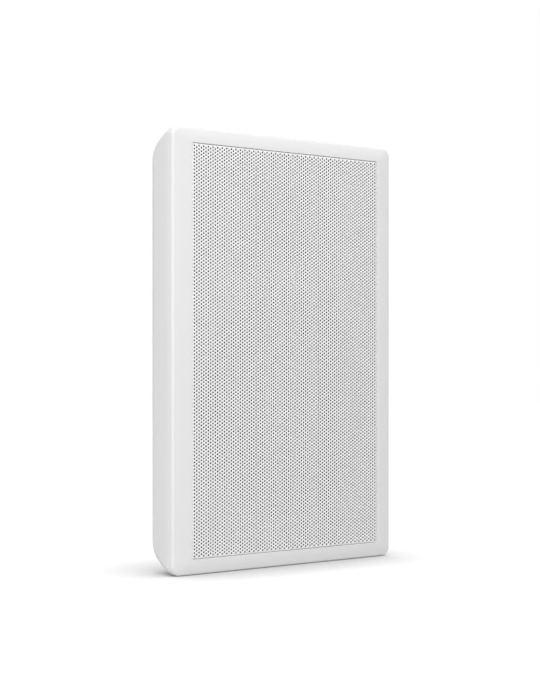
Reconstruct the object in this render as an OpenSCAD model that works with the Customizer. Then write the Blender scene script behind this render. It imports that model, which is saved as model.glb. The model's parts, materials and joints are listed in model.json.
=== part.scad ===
// Flat wall speaker: a two-way loudspeaker that hangs on a wall.
// A tapered moulded cabinet is closed by a front moulding whose bevelled frame holds
// a perforated steel grille. Behind the grille are a woofer, a tweeter and a bass port.
// Sizes are in millimetres. The wall is the plane y = 0, the front faces -Y and +Z is up.
// Each sub-part is drawn lying on its back, so that x and y are seen from the front and
// z is the height above the wall, and upright() then turns it to hang on the wall.

/* [Cabinet] */
// Width over the widest part of the sides
body_w = 217.6; // [216:0.2:222]
// Height over the widest part of the top and bottom
body_h = 320.6; // [319.6:0.2:328]
// Depth from the wall to the rim of the grille opening
body_d = 44; // [44:1:56]
// Height above the wall at which the upright sides start to lean in
side_z = 33; // [31:0.5:34]
// How far each side leans in from there to the back
side_inset = 6.5; // [5:0.5:8]
// Thickness of the moulded walls
wall_t = 2.5; // [2:0.1:3]
// Radius of the four corners seen from the front
corner_r = 7; // [6:0.5:9]
// Radius of the rounded edge between the frame and the sides
front_edge_r = 2; // [1.5:0.25:3]
// Radius of the rounded edge between the sides and the back
back_edge_r = 17.5; // [15:0.5:18]
// How far the frame falls back from the grille opening to its outer edge
bezel_drop = 2.5; // [1.5:0.25:3]

/* [Grille] */
// Width of the opening in the frame
opening_w = 185; // [184:0.5:186]
// Height of the opening in the frame
opening_h = 298; // [297:0.5:299]
// Thickness of the steel sheet
sheet_t = 1; // [0.8:0.1:1.2]
// Distance between neighbouring holes of the real sheet
hole_pitch = 2.5; // [2:0.1:3]
// Diameter of the real sheet's holes
hole_d = 1.5; // [1.2:0.1:1.6]
// How many times coarser than the real sheet the holes are drawn here
hole_coarseness = 4; // [4:1:6]

/* [Woofer] */
// Diameter of the woofer's flange
woofer_d = 166; // [165:0.5:167]
// Height of the woofer's centre above the middle of the cabinet
woofer_y = -41; // [-43:1:-39]
// Number of screws in the woofer's flange
woofer_screw_count = 6; // [4:1:8]

/* [Tweeter] */
// Width of the tweeter's face plate
tweeter_w = 62; // [60:1:63]
// Height of the tweeter's face plate
tweeter_h = 60; // [58:1:61]
// Height of the tweeter's centre above the middle of the cabinet
tweeter_y = 96; // [95:1:100]

/* [Port] */
// Bore of the bass port
port_bore_d = 17; // [12:0.5:17]
// Length of the port's tube
port_length = 26; // [16:1:28]

/* [Wall fixing] */
// Distance between the two keyholes
keyhole_gap = 120; // [110:1:124]
// Diameter of the round end that a screw head passes through
keyhole_head_d = 9; // [8:0.5:9]
// Width of the slot that the screw's neck slides into
keyhole_slot_w = 4.6; // [4:0.1:5]
// Thickness of the rubber pads between the cabinet and the wall
pad_t = 2; // [1.5:0.5:2]

/* [Hidden] */
$fn = 72;

// Heights above the wall
back_z = pad_t;
floor_z = back_z + wall_t;
edge_z = body_d - bezel_drop;
baffle_z = body_d - 4;
baffle_t = 4;
seam_z = baffle_z - baffle_t;
flange_z = baffle_z + 1.5;
pocket_z = baffle_z - 3;
boss_z = 30;

// Cabinet
lean = atan(side_inset / (side_z - back_z));
bevel = atan(bezel_drop / ((body_w - opening_w) / 2));
back_corner_r = 20;
side_draft = 0.3;
least_r = 0.3;
corner_steps = 6;
front_steps = 4;
back_steps = 6;
slab = 0.01;
cut = 0.5;
big = 500;
lap_t = 1.2;
lap_h = 1.5;
gasket_t = 1;
column_x = 82;
column_y = 135;
column_r = 4.5;
screw_r = 1.5;
clearance_r = 1.9;
head_r = 3;

// Grille
grille_gap = 0.4;
grille_front_z = body_d - 0.4;
grille_fold_h = 5.6;
groove_w = 1.8;

// Woofer, with heights counted down from the front of its flange
woofer_r = woofer_d / 2;
woofer_hole_r = woofer_r - 7.4;
woofer_screw_r = woofer_r - 3.3;
basket_base_z = -23.3;
land_z = -3.5;
coil_r = 12.9;
pole_r = 12;
motor_r = 35;
top_plate_t = 4;
magnet_t = 6;
yoke_t = 3;

// Tweeter, with real heights above the wall
tweeter_boss_r = 19;
tweeter_motor_r = 18;
dome_z = pocket_z - 2.4;
dome_r = 12.5;
tweeter_screw_x = tweeter_w / 2 - 5;
tweeter_screw_y = tweeter_h / 2 - 5;

// Port
port_x = -42.5;
port_y = 63.5;
port_r = 10;
port_flange_r = 11;

// Wall fixing and terminals
keyhole_y = 108;
keyhole_slide = 10;
keyhole_depth = 5;
pad_x = 68;
pad_y = 126;
pad_r = 6;
recess_w = 60;
recess_h = 30;
recess_y = -118;
recess_z = 16;
channel_w = 9;
channel_depth = 5.5;
pole_x = 10;
tag_angle = 60;
tag_end_z = -19;

// Crossover
board_x = 64;
board_y = 91;
board_w = 40;
board_h = 76;
board_z = 13;
board_t = 1.6;
board_top_z = board_z + board_t;

// Details that several pieces share
rib_h = 3;
wire_r = 0.8;
clamp_screw_z = recess_z - 7.8;

// Points of a rounded rectangle, corner by corner
function outline(w, h, r) = [
    for (corner = [0:3], i = [0:corner_steps])
        let (
            a = 90 * (corner + i / corner_steps),
            side = (corner == 0 || corner == 3) ? 1 : -1,
            end = (corner < 2) ? 1 : -1
        )
        [side * (w / 2 - r) + r * cos(a), end * (h / 2 - r) + r * sin(a)]
];

// Outline of the cabinet at a place of its profile: grow is counted outwards from the
// widest outline, and r is the corner radius there
function body_outline(grow, r) = outline(body_w + 2 * grow, body_h + 2 * grow, max(r, 1));

// Profile of the cabinet's side as [grow, height, corner radius], a skin's thickness
// inside the surface: the front edge is an arc that touches the bevel and the upright
// side, the side then leans in, and the back edge is an arc that touches it and the back
function front_arc(skin) =
    let (
        edge_r = max(front_edge_r, skin + least_r),
        v = edge_z - edge_r * (1 - sin(bevel)) / cos(bevel),
        r = edge_r - skin,
        steps = (skin > 0) ? 1 : front_steps
    )
    [
        for (i = [0:steps])
            let (a = (90 - bevel) * i / steps)
            [r * cos(a) - edge_r, v + r * sin(a), corner_r - edge_r + r * cos(a)]
    ];
function side_bend(skin) =
    let (grow = -skin - side_draft)
    [[grow, side_z + skin * tan(lean / 2), corner_r + grow]];
function back_arc(skin) =
    let (
        v = back_z + back_edge_r,
        u = (sin(lean) * (v - side_z) - back_edge_r) / cos(lean) - side_draft,
        r = back_edge_r - skin
    )
    [
        for (i = [0:back_steps])
            let (
                a = -lean - (90 - lean) * i / back_steps,
                rise = (back_edge_r + back_edge_r * sin(a)) / (side_z - back_z)
            )
            [u + r * cos(a), v + r * sin(a), back_corner_r + (corner_r - back_corner_r) * rise - skin * cos(a)]
    ];

// A smooth curve through points, as a list of places
function spline_at(p, i, t) =
    let (
        a = p[max(i - 1, 0)],
        b = p[i],
        c = p[i + 1],
        d = p[min(i + 2, len(p) - 1)]
    )
    0.5 * (2 * b + (c - a) * t + (2 * a - 5 * b + 4 * c - d) * t * t + (3 * b - a - 3 * c + d) * t * t * t);
function spline(p, steps) = [
    for (i = [0:len(p) - 2], s = [0:steps - 1]) spline_at(p, i, s / steps),
    p[len(p) - 1]
];
function unit(v) = v / norm(v);
function along(p, i) = unit(p[min(i + 1, len(p) - 1)] - p[max(i - 1, 0)]);

module upright() {
    rotate([90, 0, 0])
        children();
}

// A round wire along a smooth curve through points, as one closed tube
module wire(points, r, steps = 3, sides = 8) {
    p = spline(points, steps);
    rings = len(p);
    verts = [
        for (i = [0:rings - 1])
            let (
                t = along(p, i),
                n = unit(cross(t, [0.31, 0.53, 0.79])),
                b = cross(t, n)
            )
            for (k = [0:sides - 1])
                let (a = 360 * k / sides)
                p[i] + r * (cos(a) * n + sin(a) * b)
    ];
    skin = [
        for (i = [0:rings - 2], k = [0:sides - 1])
            let (
                m = (k + 1) % sides,
                a = i * sides + k,
                b = (i + 1) * sides + k,
                c = (i + 1) * sides + m,
                d = i * sides + m
            )
            each [[a, b, c], [a, c, d]]
    ];
    start = [for (k = [0:sides - 1]) k];
    finish = [for (k = [sides - 1:-1:0]) (rings - 1) * sides + k];
    polyhedron(verts, concat([start], skin, [finish]));
}

// The whole cabinet as one block, its surface moved inwards by skin
module body_block(skin = 0) {
    hull() {
        for (s = concat(front_arc(skin), side_bend(skin), back_arc(skin)))
            translate([0, 0, s[1]])
                linear_extrude(slab)
                    polygon(body_outline(s[0], s[2]));
        if (skin == 0)
            translate([0, 0, body_d - slab])
                linear_extrude(slab)
                    polygon(outline(opening_w, opening_h, 1));
    }
}

// Keeps what lies between two heights
module between(low, high) {
    intersection() {
        children();
        translate([-big / 2, -big / 2, low])
            cube([big, big, high - low]);
    }
}

module plate(w, h, r, t) {
    linear_extrude(t)
        polygon(outline(w, h, r));
}

module frame_ring(w, h, ring, t) {
    linear_extrude(t)
        difference() {
            polygon(outline(w, h, 1));
            polygon(outline(w - 2 * ring, h - 2 * ring, 0.5));
        }
}

module ring(outer_r, inner_r, t) {
    difference() {
        cylinder(h = t, r = outer_r);
        translate([0, 0, -cut])
            cylinder(h = t + 2 * cut, r = inner_r);
    }
}

module at_woofer() {
    translate([0, woofer_y, flange_z])
        children();
}

module around_woofer() {
    for (i = [0:woofer_screw_count - 1])
        rotate(30 + 360 * i / woofer_screw_count)
            translate([woofer_screw_r, 0, 0])
                children();
}

// Turns what is drawn towards -y to the woofer's tags
module at_tags() {
    rotate(tag_angle + 90)
        children();
}

module at_tweeter() {
    translate([0, tweeter_y, 0])
        children();
}

module at_columns() {
    for (x = [-1, 1], i = [0:3])
        translate([x * column_x, column_y * (2 * i / 3 - 1), 0])
            children();
}

module at_tweeter_screws() {
    for (x = [-1, 1], y = [-1, 1])
        translate([x * tweeter_screw_x, y * tweeter_screw_y, 0])
            children();
}

module at_keyholes() {
    for (x = [-1, 1])
        translate([x * keyhole_gap / 2, keyhole_y, 0])
            children();
}

module at_pads() {
    for (x = [-1, 1], y = [-1, 1])
        translate([x * pad_x, y * pad_y, 0])
            children();
}

module at_board_posts() {
    for (x = [-1, 1], y = [-1, 1])
        translate([board_x + x * (board_w / 2 - 4), board_y + y * (board_h / 2 - 4), 0])
            children();
}

module at_poles() {
    for (x = [-1, 1])
        translate([x * pole_x, recess_y, 0])
            children();
}

// A pan-head screw with its head's underside at z = 0 and a cross recess on top
module pan_screw(length, r = screw_r, head = head_r, head_h = 2) {
    difference() {
        union() {
            cylinder(h = head_h, r1 = head, r2 = head * 0.72);
            translate([0, 0, -length])
                cylinder(h = length, r = r);
        }
        for (a = [0, 90])
            rotate(a)
                translate([-head * 0.5, -0.35, head_h - 1])
                    cube([head, 0.7, 2]);
    }
}

// The front moulding: a bevelled frame, hollow behind, and the baffle inside it
module front_baffle() {
    inner_wall = wall_t + 0.5;
    color("white")
        upright()
            difference() {
                union() {
                    between(seam_z, body_d)
                        body_block();
                    // lap that enters the rim of the rear cabinet
                    between(seam_z - lap_h + gasket_t, seam_z + cut)
                        difference() {
                            body_block(lap_t + 0.1);
                            body_block(wall_t);
                        }
                    // thick frame behind the tweeter and the bosses that take screws
                    translate([0, tweeter_y, seam_z - 3])
                        plate(tweeter_w + 8, tweeter_h + 8, 4, 3 + cut);
                    at_columns()
                        translate([0, 0, boss_z])
                            cylinder(h = seam_z - boss_z + cut, r = 4);
                    translate([0, woofer_y, boss_z])
                        around_woofer()
                            cylinder(h = seam_z - boss_z + cut, r = 3.2);
                    translate([port_x, port_y, seam_z - 3])
                        cylinder(h = 3 + cut, r = port_r + 2.4);
                }
                // hollow behind the bevelled frame
                difference() {
                    body_block(wall_t);
                    plate(opening_w + 2 * inner_wall, opening_h + 2 * inner_wall, 2, big);
                    translate([0, 0, -big + seam_z])
                        plate(big, big, 1, big - lap_h - 1);
                    at_columns()
                        cylinder(h = body_d, r = 4);
                }
                // opening, and the groove round it for the folded edge of the grille
                translate([0, 0, baffle_z])
                    plate(opening_w, opening_h, 1, big);
                translate([0, 0, baffle_z - 2])
                    frame_ring(opening_w, opening_h, groove_w, 2 + cut);
                at_woofer() {
                    translate([0, 0, -3])
                        cylinder(h = big, r = woofer_r + 0.4);
                    translate([0, 0, -big / 2])
                        cylinder(h = big, r = woofer_hole_r);
                    translate([0, 0, -10])
                        around_woofer()
                            cylinder(h = 20, r = screw_r);
                }
                at_tweeter() {
                    translate([0, 0, pocket_z])
                        plate(tweeter_w + 0.4, tweeter_h + 0.4, 2.7, big);
                    cylinder(h = big, r = tweeter_boss_r + 0.3);
                    translate([0, 0, pocket_z - 3.5])
                        at_tweeter_screws()
                            cylinder(h = 5, r = 1.2);
                }
                translate([port_x, port_y, 0]) {
                    cylinder(h = big, r = port_r);
                    translate([0, 0, baffle_z - 1.2])
                        cylinder(h = 5, r = port_flange_r);
                }
                at_columns()
                    translate([0, 0, boss_z - 1])
                        cylinder(h = seam_z - boss_z + 3, r = screw_r);
            }
}

// Slot and round end of a keyhole, and the pocket behind it for the screw's head
module keyhole() {
    translate([0, 0, -cut])
        cylinder(h = wall_t + 1, r = keyhole_head_d / 2);
    translate([-keyhole_slot_w / 2, 0, -cut])
        cube([keyhole_slot_w, keyhole_slide, wall_t + 1]);
    translate([0, keyhole_slide, -cut])
        cylinder(h = wall_t + 1, r = keyhole_slot_w / 2);
    translate([0, 0, wall_t]) {
        cylinder(h = keyhole_depth, r = keyhole_head_d / 2 + 0.5);
        translate([0, keyhole_slide, 0])
            cylinder(h = keyhole_depth, r = keyhole_head_d / 2 + 0.5);
        translate([-keyhole_head_d / 2 - 0.5, 0, 0])
            cube([keyhole_head_d + 1, keyhole_slide, keyhole_depth]);
    }
}

module keyhole_box() {
    w = keyhole_head_d + 1 + 2 * wall_t;
    translate([-w / 2, -w / 2, back_z])
        cube([w, w + keyhole_slide, wall_t + keyhole_depth + wall_t]);
}

// Stiffening ribs on the inside of the back
module back_ribs() {
    rib_t = 1.6;
    for (x = [-76, -48, 48, 76])
        translate([x - rib_t / 2, -body_h / 2, back_z])
            cube([rib_t, body_h, wall_t + rib_h]);
    for (y = [-92, 16, 52, 140])
        translate([-body_w / 2, y - rib_t / 2, back_z])
            cube([body_w, rib_t, wall_t + rib_h]);
}

// The rear moulding: a tapered tub with ribs, screw columns, keyholes and terminal recess
module rear_cabinet() {
    color("white")
        upright()
            difference() {
                union() {
                    between(back_z, seam_z)
                        difference() {
                            body_block();
                            body_block(wall_t);
                        }
                    intersection() {
                        body_block(wall_t / 2);
                        union() {
                            difference() {
                                back_ribs();
                                at_woofer()
                                    translate([0, 0, -flange_z])
                                        cylinder(h = body_d, r = motor_r + 4);
                            }
                            at_columns()
                                translate([0, 0, back_z])
                                    cylinder(h = boss_z - back_z, r = column_r);
                            at_keyholes()
                                keyhole_box();
                            translate([-recess_w / 2 - wall_t, recess_y - recess_h / 2 - wall_t, back_z])
                                cube([recess_w + 2 * wall_t, recess_h + 2 * wall_t, recess_z + wall_t - back_z]);
                            translate([-channel_w / 2 - wall_t, -body_h / 2, back_z])
                                cube([channel_w + 2 * wall_t, body_h / 2 + recess_y, channel_depth + wall_t]);
                            at_board_posts()
                                translate([0, 0, back_z])
                                    cylinder(h = board_z - back_z, r = 3.2);
                        }
                    }
                }
                // step in the rim that takes the gasket and the front's lap
                between(seam_z - lap_h, seam_z + cut)
                    body_block(lap_t);
                translate([-recess_w / 2, recess_y - recess_h / 2, 0])
                    cube([recess_w, recess_h, recess_z]);
                translate([-channel_w / 2, -body_h / 2, 0])
                    cube([channel_w, body_h / 2 + recess_y, back_z + channel_depth]);
                at_poles()
                    translate([-1.4, -0.7, recess_z - 1])
                        cube([2.8, 1.4, wall_t + 2]);
                translate([0, 0, back_z])
                    at_keyholes()
                        keyhole();
                at_pads()
                    cylinder(h = back_z + 0.6, r = pad_r);
                at_columns() {
                    cylinder(h = big, r = clearance_r);
                    cylinder(h = floor_z + 2, r = head_r + 0.6);
                }
                at_board_posts()
                    translate([0, 0, board_z - 7])
                        cylinder(h = 8, r = 1.1);
            }
}

module cabinet_gasket() {
    color("dimgray")
        upright()
            between(seam_z - lap_h, seam_z - lap_h + gasket_t)
                difference() {
                    body_block(lap_t + 0.1);
                    body_block(wall_t - 0.1);
                }
}

module cabinet_screws() {
    length = seam_z + 1 - floor_z - 2;
    color("silver")
        upright()
            at_columns()
                translate([0, 0, floor_z + 2])
                    mirror([0, 0, 1])
                        pan_screw(length);
}

module wall_pads() {
    color("dimgray")
        upright()
            at_pads()
                cylinder(h = back_z + 0.6, r = pad_r);
}

// One steel sheet, punched with staggered round holes and folded back along its edges
module grille() {
    w = opening_w - 2 * grille_gap;
    h = opening_h - 2 * grille_gap;
    pitch = hole_pitch * hole_coarseness;
    d = hole_d * hole_coarseness;
    step = pitch * sqrt(3) / 2;
    columns = floor((w - d - 3) / 2 / step);
    rows = floor((h - d - 3) / 2 / pitch);
    color("whitesmoke")
        upright()
            translate([0, 0, grille_front_z - sheet_t]) {
                linear_extrude(sheet_t)
                    difference() {
                        polygon(outline(w, h, 1));
                        for (i = [-columns:columns]) {
                            shift = (abs(i) % 2) / 2;
                            for (j = [-rows:rows - 2 * shift])
                                translate([i * step, (j + shift) * pitch])
                                    circle(d = d);
                        }
                    }
                translate([0, 0, -grille_fold_h + sheet_t])
                    frame_ring(w, h, sheet_t, grille_fold_h);
            }
}

// Tube with a flared mouth, set in the baffle
module port_tube() {
    flare = 2;
    bore = port_bore_d / 2;
    color("gainsboro")
        upright()
            translate([port_x, port_y, baffle_z - port_length])
                difference() {
                    union() {
                        cylinder(h = port_length, r = port_r);
                        translate([0, 0, port_length - 1.2])
                            cylinder(h = 1.2, r = port_flange_r);
                    }
                    translate([0, 0, -cut])
                        cylinder(h = port_length + 2 * cut, r = bore);
                    translate([0, 0, port_length])
                        rotate_extrude()
                            difference() {
                                translate([0, -flare])
                                    square([bore + flare, flare + cut]);
                                translate([bore + flare, -flare])
                                    circle(r = flare);
                            }
                }
}

// Pressed steel frame of the woofer: flange, bowl with six windows and a flat base
module woofer_basket() {
    step_r = woofer_r - 7.8;
    wall_r = woofer_r - 11;
    t = 1.6;
    windows = 6;
    color("dimgray")
        upright()
            at_woofer()
                difference() {
                    rotate_extrude()
                        polygon([
                            [woofer_r, 0],
                            [step_r - t, 0],
                            [step_r - t, land_z],
                            [wall_r - t - 1, land_z],
                            [wall_r - t - 1, land_z - t],
                            [wall_r - t, land_z - t],
                            [wall_r - t, -12.9],
                            [45.8, -19.5],
                            [37.5, -19.5],
                            [37.5, -21.6],
                            [16.5, -21.6],
                            [16.5, basket_base_z],
                            [40, basket_base_z],
                            [47, -21.6],
                            [wall_r, -14.5],
                            [wall_r, land_z - t],
                            [step_r, land_z - t],
                            [step_r, -2],
                            [woofer_r, -2]
                        ]);
                    for (i = [0:windows - 1])
                        rotate(360 * (i + 0.5) / windows)
                            translate([0, 0, -25])
                                linear_extrude(16)
                                    polygon([[49, -15], [64, -21], [68, -12], [69, 0], [68, 12], [64, 21], [49, 15]]);
                    translate([0, 0, -10])
                        around_woofer()
                            cylinder(h = 20, r = clearance_r);
                    // slot that the two leads pass through
                    at_tags()
                        translate([-6, -woofer_r, -12.5])
                            cube([12, 14, 4]);
                }
}

module woofer_gasket() {
    color("black")
        upright()
            at_woofer()
                translate([0, 0, -3])
                    difference() {
                        ring(woofer_r, woofer_hole_r + 0.2, 1);
                        translate([0, 0, -cut])
                            around_woofer()
                                cylinder(h = 2, r = clearance_r);
                    }
}

// Rubber half roll, turned inwards to stay clear of the grille, with a lip on each side
module woofer_surround() {
    roll_r = 64;
    mean_r = 4.9;
    t = 0.6;
    color("black")
        upright()
            at_woofer()
                rotate_extrude() {
                    translate([roll_r, land_z + t / 2])
                        difference() {
                            circle(r = mean_r + t / 2);
                            circle(r = mean_r - t / 2);
                            translate([-10, 0])
                                square([20, 10]);
                        }
                    translate([roll_r + mean_r - t / 2, land_z])
                        square([73.4 - roll_r - mean_r + t / 2, t]);
                    translate([55.4, land_z])
                        square([roll_r - mean_r + t / 2 - 55.4, t]);
                }
}

// Height of the cone's front surface at a radius: a shallow curve
function cone_z(r) = -13.7 + 9.4 * pow((r - coil_r) / (55.4 - coil_r), 0.86);

module woofer_cone() {
    t = 0.8;
    steps = 8;
    rim = 55.4;
    radii = [for (i = [0:steps]) coil_r + (rim - coil_r) * i / steps];
    front = [for (r = radii) [r, cone_z(r)]];
    back = [for (i = [steps:-1:0]) [radii[i], cone_z(radii[i]) - t]];
    color("black")
        upright()
            at_woofer()
                rotate_extrude()
                    polygon(concat(front, [[rim, land_z], [58.6, land_z], [58.6, land_z - t - 0.4], [rim + 1, cone_z(rim) - t]], back));
}

// Shallow dome glued on the cone
module woofer_dust_cap() {
    base_r = 17;
    rise = 4.5;
    t = 0.7;
    ball_r = (base_r * base_r + rise * rise) / (2 * rise);
    color("gray")
        upright()
            at_woofer()
                translate([0, 0, cone_z(base_r)])
                    intersection() {
                        translate([0, 0, rise - ball_r])
                            difference() {
                                sphere(r = ball_r);
                                sphere(r = ball_r - t);
                            }
                        cylinder(h = 10, r = base_r + 1);
                    }
}

// Corrugated cloth disc that centres the coil
module woofer_spider() {
    inner = coil_r;
    waves_end = 36.5;
    outer = 45.5;
    z = -19.5;
    t = 0.6;
    waves = 4;
    steps = waves * 6;
    function wave(i) = 1.1 * sin(360 * waves * i / steps);
    top = [for (i = [0:steps]) [inner + (waves_end - inner) * i / steps, z + t + wave(i)]];
    bottom = [for (i = [steps:-1:0]) [inner + (waves_end - inner) * i / steps, z + wave(i)]];
    color("goldenrod")
        upright()
            at_woofer()
                rotate_extrude()
                    polygon(concat(top, [[outer, z + t], [outer, z]], bottom));
}

module woofer_coil_former() {
    color("tan")
        upright()
            at_woofer()
                translate([0, 0, -30.3])
                    ring(coil_r, coil_r - 0.4, 16.6);
}

module woofer_voice_coil() {
    color("peru")
        upright()
            at_woofer()
                translate([0, 0, -29.8])
                    ring(coil_r + 0.7, coil_r, 9);
}

module woofer_top_plate() {
    color("gray")
        upright()
            at_woofer()
                translate([0, 0, basket_base_z - top_plate_t])
                    ring(motor_r, coil_r + 1.2, top_plate_t);
}

module woofer_magnet() {
    color("dimgray")
        upright()
            at_woofer()
                translate([0, 0, basket_base_z - top_plate_t - magnet_t])
                    ring(motor_r + 1, 18, magnet_t);
}

// Back plate and pole of the woofer's motor, turned from one piece
module woofer_yoke() {
    color("gray")
        upright()
            at_woofer()
                translate([0, 0, basket_base_z - top_plate_t - magnet_t - yoke_t]) {
                    cylinder(h = yoke_t, r = motor_r);
                    cylinder(h = yoke_t + magnet_t + top_plate_t, r = pole_r);
                }
}

// Strip on the basket with two solder tags
module woofer_terminals() {
    wall_r = woofer_r - 11;
    color("darkgoldenrod")
        upright()
            at_woofer()
                at_tags()
                    difference() {
                        union() {
                            translate([-8, -wall_r - 3, -14])
                                cube([16, 5, 7.5]);
                            for (x = [-5, 5])
                                translate([x - 1.4, -wall_r - 1.6, tag_end_z])
                                    cube([2.8, 0.8, 6]);
                        }
                        translate([0, 0, -20])
                            cylinder(h = 20, r = wall_r, $fn = 360);
                    }
}

// Two flexible leads from the strip, through the basket, to the back of the cone
module woofer_tinsel_leads() {
    color("chocolate")
        upright()
            at_woofer()
                at_tags()
                    for (x = [-1, 1])
                        wire([
                            [x * 4, -71.8, -10.5],
                            [x * 4, -68, -10.6],
                            [x * 5, -60, -12.4],
                            [x * 6, -48, -13.5],
                            [x * 6, -38, -13],
                            [x * 6, -33, -11.6],
                            [x * 6, -33, -9.9]
                        ], 0.5, 3);
}

module woofer_screws() {
    color("black")
        upright()
            at_woofer()
                around_woofer()
                    pan_screw(10, screw_r, head_r - 0.2, 0.9);
}

// Square face plate with a short horn that is turned into it
module tweeter_faceplate() {
    steps = 8;
    throat_r = 14.2;
    mouth_r = 25;
    depth = baffle_z - dome_z;
    horn = [
        for (i = [0:steps])
            let (a = 90 * i / steps)
            [throat_r + (mouth_r - throat_r) * (1 - cos(a)), dome_z + depth * sin(a)]
    ];
    color("black")
        upright()
            at_tweeter()
                difference() {
                    union() {
                        translate([0, 0, pocket_z])
                            plate(tweeter_w, tweeter_h, 2.5, 3);
                        translate([0, 0, dome_z])
                            cylinder(h = 3, r = tweeter_boss_r);
                    }
                    rotate_extrude()
                        polygon(concat([[0, dome_z - cut], [throat_r, dome_z - cut]], horn, [[mouth_r, baffle_z + 1], [0, baffle_z + 1]]));
                    at_tweeter_screws() {
                        cylinder(h = big, r = 1.7);
                        translate([0, 0, baffle_z - 1.4])
                            cylinder(h = 3, r = 3);
                    }
                }
}

// Soft dome and the flat ring that holds it
module tweeter_dome() {
    rise = 4.6;
    t = 0.4;
    ball_r = (dome_r * dome_r + rise * rise) / (2 * rise);
    color("black")
        upright()
            at_tweeter() {
                translate([0, 0, dome_z])
                    intersection() {
                        translate([0, 0, rise - ball_r])
                            difference() {
                                sphere(r = ball_r);
                                sphere(r = ball_r - t);
                            }
                        cylinder(h = 10, r = dome_r + 1);
                    }
                translate([0, 0, dome_z - 0.6])
                    ring(tweeter_motor_r, dome_r - 0.5, 0.6);
            }
}

module tweeter_voice_coil() {
    color("peru")
        upright()
            at_tweeter()
                translate([0, 0, dome_z - 4.4])
                    ring(dome_r, dome_r - 0.5, 3.8);
}

module tweeter_top_plate() {
    color("gray")
        upright()
            at_tweeter()
                translate([0, 0, dome_z - 3.6])
                    ring(tweeter_motor_r, dome_r + 0.5, 3);
}

module tweeter_magnet() {
    color("dimgray")
        upright()
            at_tweeter()
                translate([0, 0, dome_z - 8.6])
                    ring(tweeter_motor_r, dome_r + 2, 5);
}

module tweeter_yoke() {
    color("gray")
        upright()
            at_tweeter()
                translate([0, 0, dome_z - 11.6]) {
                    cylinder(h = 3, r = tweeter_motor_r);
                    cylinder(h = 11, r = dome_r - 1);
                }
}

// Two solder tags on a strip beside the tweeter's motor
module tweeter_terminals() {
    color("darkgoldenrod")
        upright()
            at_tweeter()
                difference() {
                    union() {
                        translate([tweeter_motor_r - 2, -7, dome_z - 10.6])
                            cube([5, 14, 5]);
                        for (y = [-4.5, 4.5])
                            translate([tweeter_motor_r + 1, y - 1.4, dome_z - 14.6])
                                cube([0.8, 2.8, 5]);
                    }
                    translate([0, 0, dome_z - 12])
                        cylinder(h = 10, r = tweeter_motor_r);
                }
}

module tweeter_screws() {
    color("black")
        upright()
            at_tweeter()
                translate([0, 0, baffle_z - 1.4])
                    at_tweeter_screws()
                        pan_screw(5, 1.2, 2.6, 1.2);
}

module crossover_board() {
    color("darkgreen")
        upright()
            difference() {
                translate([board_x, board_y, board_z])
                    plate(board_w, board_h, 2, board_t);
                at_board_posts()
                    cylinder(h = big, r = 1.6);
            }
}

// Two film capacitors lying on the board
module crossover_capacitors() {
    r = 6;
    color("khaki")
        upright()
            for (y = [70, 84])
                translate([46, y, board_top_z + r])
                    rotate([0, 90, 0])
                        cylinder(h = 22, r = r);
}

// Two air-cored coils of copper wire standing on the board
module crossover_inductors() {
    color("peru")
        upright() {
            translate([board_x, 111, board_top_z])
                ring(13, 6, 13);
            translate([77, 71, board_top_z])
                ring(6, 3, 9);
        }
}

// Ceramic power resistor lying on the board
module crossover_resistor() {
    color("white")
        upright()
            translate([52, 91, board_top_z])
                cube([24, 6, 7]);
}

module crossover_screws() {
    color("silver")
        upright()
            at_board_posts()
                translate([0, 0, board_top_z])
                    pan_screw(7, 1.1, 2.6, 1.4);
}

// Insulating body of the two-pole screw terminal, on the floor of the recess
module terminal_block() {
    color("black")
        upright()
            difference() {
                translate([-18, recess_y - 7, recess_z - 10])
                    cube([36, 14, 10]);
                at_poles() {
                    translate([-4, -8, recess_z - 5.4])
                        cube([8, 16, 4.4]);
                    cylinder(h = recess_z - 5, r = screw_r);
                    cylinder(h = clamp_screw_z, r = head_r + 0.4);
                    translate([-1.3, -0.6, 0])
                        cube([2.6, 1.2, recess_z + 1]);
                }
            }
}

// Brass clamping plates, each with a tag that reaches into the cabinet
module terminal_clamps() {
    color("gold")
        upright()
            at_poles() {
                translate([-3.8, -6, recess_z - 2])
                    cube([7.6, 12, 1]);
                translate([-1.2, -0.5, recess_z - 2])
                    cube([2.4, 1, 8]);
            }
}

module terminal_screws() {
    color("silver")
        upright()
            at_poles()
                translate([0, 0, clamp_screw_z])
                    mirror([0, 0, 1])
                        pan_screw(recess_z - 2.2 - clamp_screw_z, screw_r, head_r, 1.8);
}

// Blocks of soft foam that damp the air in the cabinet, resting on the ribs
module damping_foam() {
    color("slategray")
        upright()
            translate([0, 0, floor_z + rib_h]) {
                for (x = [-1, 1])
                    translate([x * 60, -115, 0])
                        plate(32, 34, 4, 14);
                translate([-58, 30, 0])
                    plate(36, 20, 4, 16);
            }
}

// The two wires from the terminal's tags to the crossover board
module input_wires() {
    tag_z = recess_z + 6;
    color("crimson")
        upright() {
            wire([
                [10, -118, tag_z], [10, -118, 25], [17, -112, 25], [29, -100, 23], [40, -87, 15],
                [52, -76, 11], [64, -58, 11], [70, -41, 11], [71, -10, 11], [69, 20, 11],
                [67, 45, 9.5], [66, 57, 9.5], [66, 60, 10.5], [66, 60, board_z]
            ], wire_r);
            wire([
                [-10, -118, tag_z], [-10, -120, 25], [-3, -127, 25], [10, -128, 25], [24, -119, 25],
                [35, -104, 24], [46, -88, 15], [57, -77, 11], [68, -62, 11], [74, -41, 11],
                [75, -10, 11], [75, 20, 11], [73, 45, 9.5], [72, 57, 9.5], [72, 60, 10.5], [72, 60, board_z]
            ], wire_r);
        }
}

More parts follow.
